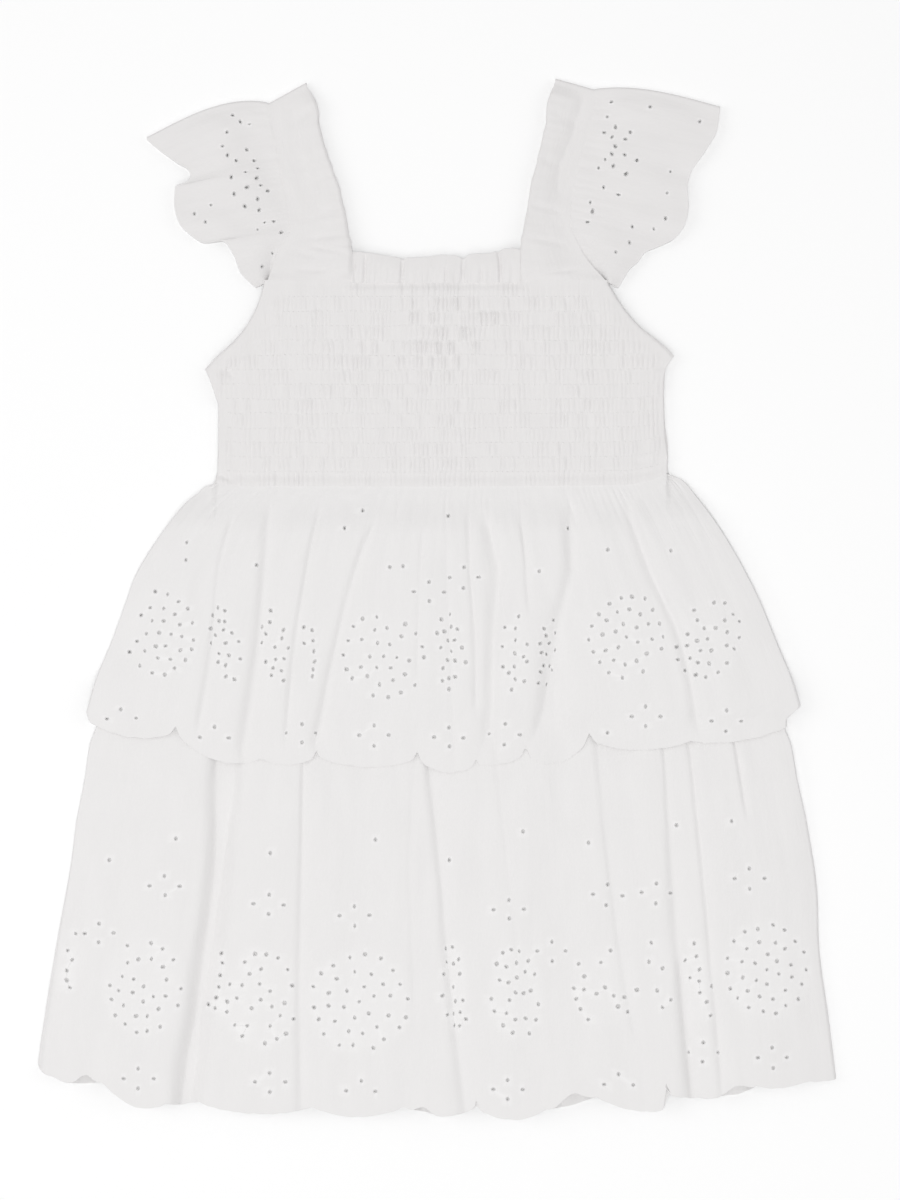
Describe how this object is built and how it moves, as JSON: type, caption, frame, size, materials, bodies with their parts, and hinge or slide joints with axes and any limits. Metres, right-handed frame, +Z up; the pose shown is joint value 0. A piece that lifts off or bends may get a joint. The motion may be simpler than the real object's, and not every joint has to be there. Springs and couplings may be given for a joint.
{
  "type": "toddler dress",
  "caption": "Sleeveless toddler sundress laid flat: shirred square-neck bodice, wide straps with eyelet flutter sleeves, two gathered tiers with scalloped eyelet hems.",
  "frame": {"origin": "under the middle of the laid dress, on the surface it rests on", "axes": "+Y from the hem to the neck, +X to the right as the front is seen, +Z up out of the front"},
  "size_m": [0.391, 0.5089, 0.0107],
  "materials": {
    "plain_cotton": "matte white crinkled cotton",
    "eyelet_cotton": "matte white cotton with white embroidered eyelets"
  },
  "bodies": {
    "root": {"bodice_front": "plain_cotton", "bodice_back": "plain_cotton", "neck_frill_front": "plain_cotton", "neck_frill_back": "plain_cotton", "strap_left": "plain_cotton", "strap_right": "plain_cotton", "flutter_sleeve_left": "eyelet_cotton", "flutter_sleeve_right": "eyelet_cotton", "upper_tier_front": "eyelet_cotton", "upper_tier_back": "eyelet_cotton", "lower_tier_front": "eyelet_cotton", "lower_tier_back": "eyelet_cotton"}
  },
  "joints": []
}
